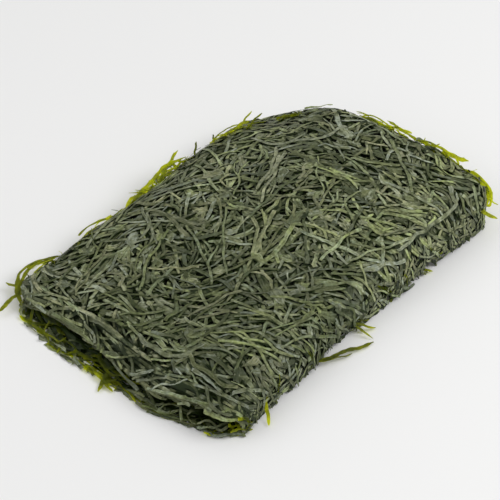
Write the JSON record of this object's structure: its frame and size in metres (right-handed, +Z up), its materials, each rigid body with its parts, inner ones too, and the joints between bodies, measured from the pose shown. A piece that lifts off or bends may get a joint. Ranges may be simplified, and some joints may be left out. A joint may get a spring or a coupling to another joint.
{
  "type": "folded mat of shredded dried kelp",
  "caption": "Dried kelp cut into fine strips and dried as a mat, folded once, thick at the fold and open at the other end.",
  "frame": {"origin": "middle of the footprint's box, on the flat underside", "axes": "+X along the long side, towards the fold; +Y along the short side; +Z up, out of the top"},
  "size_m": [0.2554, 0.181, 0.036],
  "materials": {
    "dried_kelp": "matt, dry plant strips with a greyish bloom"
  },
  "bodies": {
    "root": {"kelp_mat": "dried_kelp"}
  },
  "joints": []
}
